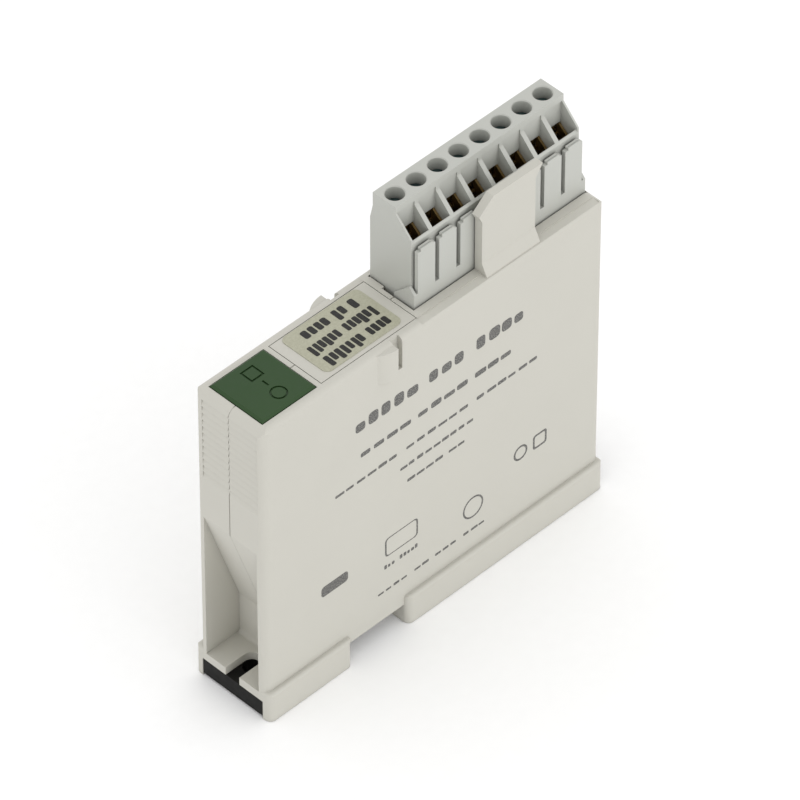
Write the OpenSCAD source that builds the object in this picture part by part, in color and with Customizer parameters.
// Slim input/output module for a control rack, with a pull-off screw terminal plug.
// X runs along the module, Y across it and Z up from the face that rests on the rack.
// The origin is at the middle of the footprint, at the bottom of the feet.

/* [Case] */
// Length of the case
case_l = 82.3; // [82:0.1:83]
// Width of the case above its feet
case_w = 16.36; // [16:0.02:16.8]
// Height of the case top
case_h = 69.0; // [68.6:0.1:69.4]
// Thickness of the side walls
wall = 1.6; // [1.2:0.1:1.8]
// Radius of the upright corners
corner_r = 1.5; // [1:0.1:2]
// Radius of the long top edges
top_r = 1.0; // [0.5:0.1:1.2]
// Radius of the top edges at the two ends
end_r = 2.0; // [1.8:0.1:2.6]
// Height of the open edge of the case between its feet
belly_z = 4.42; // [4.2:0.02:4.6]

/* [Feet] */
// Length over the feet
feet_l = 82.4; // [82.3:0.1:83]
// Width over the feet
feet_w = 18.56; // [18:0.02:19]
// Height of the feet
feet_h = 6.5; // [6.2:0.1:6.8]
// Near end of the slot for the rack's retention bar
bar_x0 = -21.1; // [-22:0.1:-20]
// Far end of the slot for the rack's retention bar
bar_x1 = -7.54; // [-8:0.02:-6]

/* [Hold-down ends] */
// Height of the mouth of each screw recess
mouth_z = 39.4; // [38:0.1:40]
// Half width of each screw recess
mouth_y = 6.45; // [6:0.05:6.5]
// Depth of each screw recess
recess_d = 8.0; // [7:0.1:8.5]
// Height of the recess's upright back wall
recess_back_z = 15.3; // [14:0.1:17]
// Distance of the hold-down screws from the middle
hold_x = 36.6; // [36:0.1:37]
// Radius of the hold-down holes
hold_r = 1.65; // [1.5:0.05:1.7]

/* [Terminal plug] */
// Number of poles
poles = 8; // [8:1:8]
// Distance between poles
pitch = 5.08; // [5.08:0.01:5.08]
// X of the first pole
pole_x0 = 1.46; // [1.4:0.02:1.5]
// Height of the plug's top
plug_top = 88.69; // [88.4:0.01:89]
// Underside of the plug
plug_z0 = 63.5; // [63.3:0.1:63.8]
// Y of the screw holes
screw_y = 3.2; // [3.1:0.05:3.3]
// Radius of the screw holes
screw_hole_r = 1.75; // [1.7:0.05:1.8]
// How far a clamp cage rises
cage_lift = 1.8; // [1:0.1:1.8]

/* [Top markers] */
// Length of the coloured type cap
cap_l = 12.6; // [12:0.1:12.7]
// Length of the label carrier
carrier_l = 22.4; // [22:0.1:22.5]

/* [Hidden] */
$fn = 48;
eps = 0.01;
half_l = case_l / 2;
half_w = case_w / 2;
seam = 0.03;
fit = 0.3;
inner_y = half_w - wall;
roof_z = case_h - 2.4;
ledge_z = case_h - 1.2;
floor_z0 = 4.2;
floor_z1 = 5.95;
shell_t = 1.55;
plug_mid = pole_x0 + (poles - 1) * pitch / 2;
plug_half = poles * pitch / 2 - 0.08;
base_half = plug_half + 0.52;
pin_y = 1.4;
pin_z1 = 69.0;
header_top = plug_z0 - 0.6;
pcb_t = 1.6;
pcb_top = 54;
pcb_bottom = 8.5;
rack_x = 15.9;
rack_pitch = 2.54;
rack_rows = 12;
finger_y0 = -4.45;
finger_y1 = -3.65;
front_y = -3.22;
tongue_x = 19.2;
tongue_w = 12.9;
tongue_y0 = -6.45;
tongue_y1 = finger_y0 - fit;
plug_gap = 0.4;
lug_x = -10.1;
chamber_top = 83.9;
cage_z0 = 75.0;
cage_h = 7.0;
cell_half = (pitch - 0.9) / 2;
pole_numbers = [0:poles - 1];
posts = [[-34.5, 48.5], [-26.5, 13], [26.5, 13], [34.5, 48.5]];

function pole_x(i) = pole_x0 + i * pitch;

// ---- shared shapes ----

// A box given by its lowest and highest corners.
module span(lo, hi) {
    translate(lo) cube(hi - lo);
}

// An outline in X and Z, given thickness from y0 to y1.
module xz_prism(y0, y1) {
    translate([0, y1, 0]) rotate([90, 0, 0]) linear_extrude(y1 - y0) children();
}

// An outline in Y and Z, given thickness from x0 to x1.
module yz_prism(x0, x1) {
    translate([x0, 0, 0]) rotate([90, 0, 90]) linear_extrude(x1 - x0) children();
}

// A rectangle with round corners, centred on the origin.
module rounded_rect(l, w, r) {
    square([l - 2 * r, w], center = true);
    square([l, w - 2 * r], center = true);
    for (sx = [-1, 1], sy = [-1, 1]) {
        translate([sx * (l / 2 - r), sy * (w / 2 - r)]) circle(r);
    }
}

// A rectangle standing on the axis, with its two top corners rounded.
module arch_rect(w, h, r) {
    translate([-w / 2, 0]) square([w, h - r]);
    translate([r - w / 2, 0]) square([w - 2 * r, h]);
    for (s = [-1, 1]) translate([s * (w / 2 - r), h - r]) circle(r);
}

// A block whose upright corners and top edges are both rounded.
module soft_block(l, w, h, r, edge_r, end_edge_r) {
    intersection() {
        linear_extrude(h) rounded_rect(l, w, r);
        xz_prism(-w, w) arch_rect(l, h, end_edge_r);
        yz_prism(-l, l) arch_rect(w, h, edge_r);
    }
}

// Both ends of the module: the children and their mirror image in X.
module both_ends() {
    children();
    mirror([1, 0, 0]) children();
}

// ---- case ----

module foot(x0, x1) {
    translate([(x0 + x1) / 2, 0, 0]) soft_block(x1 - x0, feet_w, feet_h, 1.3, 0.6, 0.6);
}

// Fin on each flank that a pulling tool grips; it rises in an arc from the front.
module side_lug() {
    reach = 1.15;
    run = 3.8;
    arc_r = (run * run + reach * reach) / (2 * reach);
    for (s = [-1, 1]) translate([lug_x, s * (half_w - 0.3), case_h - 7.0]) {
        linear_extrude(6.6) intersection() {
            translate([0, s * (reach + 0.3 - arc_r)]) circle(arc_r);
            translate([-run - 1, s > 0 ? 0 : -reach - 1]) square([run + 1, reach + 1]);
        }
    }
}

// Narrow pocket behind each fin.
module lug_pocket() {
    for (s = [-1, 1]) translate([lug_x + 1.05, s * half_w, case_h - 3.4]) {
        cube([2.0, 2.3, 7], center = true);
    }
}

// Upright retaining tongue that guards the front of the plug. One shoulder of its head is
// cut off, the other ends in a point, and the foot flares out to the edge of the case.
module tongue() {
    left = tongue_x - tongue_w / 2;
    right = tongue_x + tongue_w / 2;
    xz_prism(tongue_y0, tongue_y1) polygon([
        [left, case_h - 6], [right, case_h - 6], [right, 82.7], [right + 1.7, 85.15],
        [left + 2.65, 85.25], [left - 0.75, 82.3], [left, 80.75]
    ]);
    yz_prism(left, right) polygon([
        [tongue_y0 - 1.25, case_h - 2], [tongue_y1, case_h - 2], [tongue_y1, 71.4],
        [tongue_y0, 71.3], [tongue_y0 - 1.25, case_h - 0.2]
    ]);
}

module case_outside() {
    difference() {
        translate([0, 0, belly_z])
            soft_block(case_l, case_w, case_h - belly_z, corner_r, top_r, end_r);
        // shallow step along each long top edge, beside the plug
        for (s = [-1, 1]) yz_prism(-3.1, half_l - 1.2) polygon([
            [s * 6.45, case_h - 0.15], [s * 9, case_h - 0.5],
            [s * 9, case_h + 1], [s * 6.45, case_h + 1]
        ]);
    }
    foot(-feet_l / 2, bar_x0);
    foot(bar_x1, feet_l / 2);
    side_lug();
    tongue();
}

// Wedge-shaped well that a screwdriver reaches the hold-down screw through.
module screw_recess() {
    deep = recess_d - half_l;
    xz_prism(-mouth_y, mouth_y) {
        difference() {
            polygon([
                [-half_l - 2, mouth_z + 6], [-half_l, mouth_z], [deep, recess_back_z],
                [deep, floor_z1], [-half_l - 2, floor_z1]
            ]);
            translate([deep - 0.8, floor_z1]) difference() {
                square(0.8 + eps);
                translate([0, 0.8]) circle(0.8);
            }
        }
    }
}

// Open-ended slot in the recess floor, for the shank of the hold-down screw.
module screw_slot() {
    translate([-hold_x, 0, 0]) {
        cylinder(h = floor_z1 + 1, r = hold_r + 0.05);
        span([-10, -hold_r - 0.05, 0], [0, hold_r + 0.05, floor_z1 + 1]);
    }
}

// Room inside the case for the electronics.
module electronics_room() {
    low_x = half_l - recess_d - shell_t;
    high_x = half_l - shell_t;
    xz_prism(-inner_y, inner_y) polygon([
        [-low_x, floor_z0], [low_x, floor_z0], [low_x, recess_back_z], [high_x, mouth_z + 1.5],
        [high_x, header_top - 0.4], [-3.4, header_top - 0.4], [-3.4, roof_z],
        [-high_x, roof_z], [-high_x, mouth_z + 1.5], [-low_x, recess_back_z]
    ]);
}

// Space under each foot for the black base plate.
module base_room() {
    room_y = 7.45;
    end_wall = 1.2;
    span([-feet_l, -room_y, -1], [bar_x0 - end_wall, room_y, floor_z0]);
    span([bar_x1 + end_wall, -room_y, -1], [feet_l, room_y, floor_z0]);
}

// Opening in the top that the plug drops into.
module plug_room() {
    far_y = 6.95;
    span([plug_mid - base_half - plug_gap, tongue_y1, header_top - 1],
         [plug_mid + base_half + plug_gap, 3, case_h + 1]);
    span([plug_mid - plug_half - fit, 0, header_top - 1],
         [plug_mid + plug_half + fit, far_y, case_h + 1]);
}

// Pockets for the type cap and the label carrier, with the carrier's peg holes.
module marker_pockets() {
    span([-39.4, -6.5, ledge_z], [cap_l - 39.1, 6.5, case_h + 1]);
    span([-25.5, -6.4, ledge_z], [carrier_l - 25.2, 6.4, case_h + 1]);
    for (x = carrier_pegs()) translate([x, 0, roof_z - 1]) cylinder(h = 3, r = 0.9);
}

function carrier_pegs() = [-20.5, -7.5];

// Fine saw-tooth grip on each end wall.
module grip() {
    teeth = 12;
    step = 1.54;
    depth = 0.26;
    for (i = [0:teeth - 1]) {
        z = 48.9 + i * step;
        xz_prism(-6.9, 6.4) polygon([
            [-half_l - 1, z], [-half_l, z], [-half_l + depth, z + step - 0.12],
            [-half_l - 1, z + step - 0.1]
        ]);
    }
}

// Narrow groove where the two halves of the case meet.
module seam_groove() {
    w = 0.11;
    d = 0.14;
    both_ends() span([-half_l - 1, -w, floor_z1], [-half_l + d, w, case_h + 1]);
    span([-half_l, -w, case_h - d], [half_l, w, case_h + 1]);
}

module case_body() {
    difference() {
        case_outside();
        electronics_room();
        base_room();
        plug_room();
        marker_pockets();
        lug_pocket();
        both_ends() {
            screw_recess();
            screw_slot();
            grip();
        }
        seam_groove();
    }
}

module case_near() {
    color("#cbc8bf") {
        difference() {
            case_body();
            span([-100, -seam, -10], [100, 100, 200]);
        }
        for (p = posts) translate([p[0], -0.1, p[1]]) rotate([90, 0, 0]) {
            cylinder(h = half_w - 0.6, r = 1.8);
            translate([0, 0, -3]) cylinder(h = 3.5, r = 1.0);
        }
    }
}

module case_far() {
    color("#c8c5bc") {
        difference() {
            case_body();
            span([-100, -100, -10], [100, seam, 200]);
        }
        for (p = posts) translate([p[0], half_w - 0.5, p[1]]) rotate([90, 0, 0]) {
            difference() {
                cylinder(h = half_w - 0.6, r = 1.8);
                translate([0, 0, half_w - 4.6]) cylinder(h = 5, r = 1.05);
            }
        }
    }
}

module base_plate() {
    y = 7.35;
    top = 4.1;
    web_x = half_l - recess_d - shell_t - 0.2;
    web_y = inner_y - 0.2;
    color("#2b2a29") difference() {
        union() {
            span([-feet_l / 2 + 0.1, -y, 0.5], [bar_x0 - 1.3, y, top]);
            span([bar_x1 + 1.3, -y, 0.5], [feet_l / 2 - 0.1, y, top]);
            span([-web_x, -web_y, belly_z + 0.03], [web_x, web_y, 6.0]);
            span([-web_x, -web_y, 3.6], [bar_x0 - 1.3, web_y, 5]);
            span([bar_x1 + 1.3, -web_y, 3.6], [web_x, web_y, 5]);
        }
        for (s = [-1, 1]) translate([s * hold_x, 0, -1]) cylinder(h = 8, r = hold_r);
        span([rack_x - 15.7, -4.4, -1], [rack_x + 15.7, 4.4, 8]);
    }
}

// ---- top markers ----

module type_cap() {
    x0 = -39.25;
    y = 6.35;
    top = case_h + 0.5;
    cut = 0.45;
    color("#3c5a37") difference() {
        intersection() {
            span([x0, -y, ledge_z + 0.03], [x0 + cap_l, y, top]);
            xz_prism(-y, y) polygon([
                [x0, 0], [x0 + cap_l, 0], [x0 + cap_l, top - cut],
                [x0 + cap_l - cut, top], [x0 + cut, top], [x0, top - cut]
            ]);
            yz_prism(x0, x0 + cap_l) polygon([
                [-y, 0], [y, 0], [y, top - cut], [y - cut, top], [cut - y, top],
                [-y, top - cut]
            ]);
        }
        translate([x0 + 6.9, 0, top - 0.25]) linear_extrude(1) cap_mark();
    }
}

// Plain engraved signal symbol: a ring, a bar and a square frame.
module cap_mark() {
    line = 0.36;
    translate([0, -3.2]) difference() {
        circle(1.6);
        circle(1.6 - line);
    }
    square([line, 1.5], center = true);
    translate([0, 3.2]) difference() {
        square(3.0, center = true);
        square(3.0 - 2 * line, center = true);
    }
}

module label_carrier() {
    x0 = -25.35;
    color("#c9c6be") {
        span([x0, -6.25, ledge_z + 0.03], [x0 + carrier_l, 6.25, case_h]);
        for (x = carrier_pegs()) translate([x, 0, roof_z - 0.6]) {
            cylinder(h = ledge_z - roof_z + 0.8, r = 0.8);
        }
    }
}

module id_label() {
    l = 18.2;
    w = 11.5;
    color("#adac98") translate([-14.05, 0.35, case_h])
        linear_extrude(0.12) rounded_rect(l, w, 1.3);
}

// ---- electronics ----

module circuit_board() {
    color("#2f6b45") difference() {
        xz_prism(-pcb_t / 2, pcb_t / 2) difference() {
            polygon([
                [-30.6, pcb_bottom], [30.6, pcb_bottom], [30.6, 16], [38.4, 41],
                [38.4, pcb_top], [-38.4, pcb_top], [-38.4, 41], [-30.6, 16]
            ]);
            for (p = posts) translate(p) circle(2.2);
        }
    }
}

module terminal_header() {
    color("#b9b9b2") difference() {
        span([plug_mid - 20.3, -3.6, header_top - 4.4],
             [plug_mid + 20.0, 6.2, header_top]);
        for (i = pole_numbers) translate([pole_x(i), pin_y, header_top - 2])
            cube([1.04, 1.04, 12], center = true);
    }
}

module header_pins() {
    color("#c9b26b") for (i = pole_numbers) {
        span([pole_x(i) - 0.5, pin_y - 0.5, 50], [pole_x(i) + 0.5, pin_y + 0.5, pin_z1]);
    }
}

module rack_header() {
    color("#1f1f20") difference() {
        span([rack_x - 15.5, -4.2, 1.0], [rack_x + 15.5, 4.2, 8.2]);
        span([rack_x - 14.6, -3.3, 0], [rack_x + 14.6, 3.3, 6.2]);
        rack_places() cube([0.68, 0.68, 40], center = true);
    }
}

module rack_pins() {
    color("#d1b25a") rack_places() translate([-0.32, -0.32, 2]) cube([0.64, 0.64, 8.8]);
}

// Every pin place of the two-row rack connector.
module rack_places() {
    for (i = [0:rack_rows - 1], s = [-1, 1]) {
        translate([rack_x + (i - (rack_rows - 1) / 2) * rack_pitch, s * 1.27, 0]) children();
    }
}

// A part's body standing on the near side of the board, from its middle and size.
module near_part(x, z, size) {
    gap = 0.05;
    translate([x - size[0] / 2, -pcb_t / 2 - gap - size[1], z - size[2] / 2]) cube(size);
}

// A part's body standing on the far side of the board.
module far_part(x, z, size) {
    gap = 0.05;
    translate([x - size[0] / 2, pcb_t / 2 + gap, z - size[2] / 2]) cube(size);
}

module transformer_core() {
    color("#3a3a3c") translate([-19, -3.4, 36]) difference() {
        cube([13, 3, 11], center = true);
        for (s = [-1, 1]) translate([s * 3.25, 0, 0]) cube([2.5, 5, 6.6], center = true);
    }
}

module transformer_coil() {
    color("#b87333") translate([-19, -3.4, 36]) difference() {
        cube([8.6, 5.0, 6.2], center = true);
        cube([4.1, 3.1, 8], center = true);
        for (s = [-1, 1]) translate([s * 5.9, 0, 0]) cube([3.4, 3.1, 8], center = true);
    }
}

module gull_leads(x, z, size, count) {
    step = (size[0] - 1) / (count - 1);
    for (i = [0:count - 1], s = [-1, 1]) {
        near_part(x - size[0] / 2 + 0.5 + i * step, z + s * (size[2] / 2 + 0.5), [0.4, 0.9, 1.2]);
    }
}

module converter_chip() {
    size = [12.8, 2.3, 7.5];
    color("#232324") {
        near_part(2, 40, size);
        gull_leads(2, 40, size, 10);
    }
}

module controller_chip() {
    size = [10, 1.6, 10];
    color("#232324") {
        near_part(2, 22, size);
        gull_leads(2, 22, size, 9);
    }
}

module optocouplers() {
    color("#e6e3da") for (i = [0:3]) near_part(22, 20 + i * 7, [6.6, 3.4, 4.6]);
}

module filter_capacitors() {
    color("#b9bcc0") for (i = [0:2]) {
        translate([-20 + i * 7, -0.85, 20]) rotate([90, 0, 0]) cylinder(h = 5.0, r = 2.5);
    }
}

module ceramic_capacitors() {
    color("#a8875a") for (i = [0:4], s = [0, 1]) near_part(-6 + i * 4, 30 + s * 2.4, [2, 1.2, 1.2]);
}

module resistors() {
    color("#262626") for (i = [0:5], s = [0, 1]) near_part(14 + i * 2.6, 48 + s * 3, [1.2, 0.5, 2]);
}

module power_module() {
    color("#1d1e20") far_part(-18, 34, [19, 5.2, 14]);
}

module surge_diodes() {
    color("#2a2a2c") for (i = [0:3]) far_part(4 + i * 10, 44, [4.4, 2.3, 3.6]);
}

// ---- terminal plug ----

// Outline of one wire cell with the clamp chamber behind it.
module cell_outline() {
    back_y = 0.8;
    polygon([
        [back_y, 82.5], [back_y, 87.2], [-5, 87.2], [-5, 83.0], [-3.0, 83.0],
        [-2.6, 82.6], [-2.6, 79.0], [0.2, 75.2], [0.2, plug_z0 + 0.8],
        [5.7, plug_z0 + 0.8], [5.7, chamber_top], [1.4, chamber_top], [1.4, 82.5]
    ]);
}

// Springy finger in front of one pole; its tip has a low step at each side.
module finger(i) {
    half = pitch / 2 - 0.47;
    tip_z = 81.2;
    rise = 0.55;
    xz_prism(finger_y0, finger_y1) translate([pole_x(i), 0]) polygon([
        [-half, 71], [half, 71], [half, tip_z], [half - 0.35, tip_z + 0.1],
        [half - 0.75, tip_z + rise], [0.7 - half, tip_z + rise],
        [0.7 - half, tip_z], [-half, tip_z]
    ]);
}

module plug_outside() {
    x0 = plug_mid - plug_half;
    x1 = plug_mid + plug_half;
    yz_prism(x0, x1) polygon([
        [0.56, plug_top], [6.0, plug_top], [6.0, 85.7], [6.65, 82.7], [6.65, plug_z0],
        [front_y, plug_z0], [front_y, 83.28], [0.56, 87.2]
    ]);
    span([plug_mid - base_half, finger_y0, plug_z0],
         [plug_mid + base_half, front_y + eps, 71.9]);
    for (x = [plug_mid - base_half, x1 - eps]) {
        yz_prism(x, x + base_half - plug_half + eps) polygon([
            [finger_y0, plug_z0], [finger_y0, 71.9], [front_y, 73.2], [0.4, 69.6],
            [0.4, plug_z0]
        ]);
    }
    for (i = pole_numbers) finger(i);
}

module plug_housing() {
    color("#bebfb6") difference() {
        plug_outside();
        // partitions between the cells sit a little lower than the two end cheeks
        yz_prism(pole_x(0) - cell_half, pole_x(poles - 1) + cell_half) polygon([
            [0.57, 86.35], [0.57, 87.3], [front_y - 1, 84.4], [front_y - 1, 81.42],
            [front_y, 82.45], [front_y + eps, 82.46]
        ]);
        for (i = pole_numbers) {
            yz_prism(pole_x(i) - cell_half, pole_x(i) + cell_half) cell_outline();
            translate([pole_x(i), screw_y, 0]) {
                translate([0, 0, chamber_top + 0.8]) cylinder(h = 10, r = screw_hole_r);
                translate([0, 0, chamber_top - 1]) cylinder(h = 3, r = 1.45);
                translate([0, 0, plug_top - 0.18])
                    cylinder(h = 0.2, r1 = screw_hole_r, r2 = screw_hole_r + 0.2, $fn = 48);
            }
            translate([pole_x(i), pin_y, plug_z0]) cube([1.5, 1.5, 4], center = true);
        }
    }
}

// One contact: fork for the header pin, clamp bar and the wire guide's two wings.
module contact(i) {
    bar = 1.25;
    translate([pole_x(i), 0, 0]) {
        span([-bar, 0.9, 79.4], [bar, 5.55, 80.0]);
        span([-bar, 5.05, 72.6], [bar, 5.55, 80.0]);
        span([-bar, 0.6, 72.6], [bar, 5.55, 73.2]);
        span([-2.05, 0.9, 79.4], [2.05, 1.3, 80.0]);
        for (s = [-1, 1]) {
            translate([s * 0.75 - 0.2, 0.6, 65]) cube([0.4, 1.6, 7.8]);
            yz_prism(s * 1.825 - 0.225, s * 1.825 + 0.225) polygon([
                [1.3, 82.2], [0.9, 82.2], [-1.3, 80.4], [-1.3, 79.0], [0, 77.4], [1.3, 77.4]
            ]);
        }
    }
}

module plug_contacts() {
    color("#8a7a4c") for (i = pole_numbers) contact(i);
}

module terminal_screw(i) {
    head_z0 = chamber_top + 0.9;
    head_h = 1.4;
    color("#9aa3a8") translate([pole_x(i), screw_y, 0]) difference() {
        union() {
            translate([0, 0, head_z0]) cylinder(h = head_h, r = 1.5);
            translate([0, 0, 80.5]) cylinder(h = head_z0 - 80.5 + eps, r = 1.25);
        }
        translate([0, 0, head_z0 + head_h]) {
            cube([4, 0.6, 1.6], center = true);
            cube([0.5, 2.0, 1.4], center = true);
        }
    }
}

module clamp_cage(i) {
    color("#a08a4a") translate([pole_x(i), 0, cage_z0]) difference() {
        span([-1.85, 1.6, 0], [1.85, 4.8, cage_h]);
        span([-1.4, 0, 0.6], [1.4, 6, cage_h - 1.2]);
        translate([0, screw_y, cage_h - 2]) cylinder(h = 4, r = 1.3);
    }
}

case_near();
case_far();
base_plate();
type_cap();
label_carrier();
id_label();
circuit_board();
terminal_header();
header_pins();
rack_header();
rack_pins();
transformer_core();
transformer_coil();
converter_chip();
controller_chip();
optocouplers();
filter_capacitors();
ceramic_capacitors();
resistors();
power_module();
surge_diodes();
plug_housing();
plug_contacts();
terminal_screw(0);  // terminal_screw_1
terminal_screw(1);  // terminal_screw_2
terminal_screw(2);  // terminal_screw_3
terminal_screw(3);  // terminal_screw_4
terminal_screw(4);  // terminal_screw_5
terminal_screw(5);  // terminal_screw_6
terminal_screw(6);  // terminal_screw_7
terminal_screw(7);  // terminal_screw_8
clamp_cage(0);  // clamp_cage_1
clamp_cage(1);  // clamp_cage_2
clamp_cage(2);  // clamp_cage_3
clamp_cage(3);  // clamp_cage_4
clamp_cage(4);  // clamp_cage_5
clamp_cage(5);  // clamp_cage_6
clamp_cage(6);  // clamp_cage_7
clamp_cage(7);  // clamp_cage_8
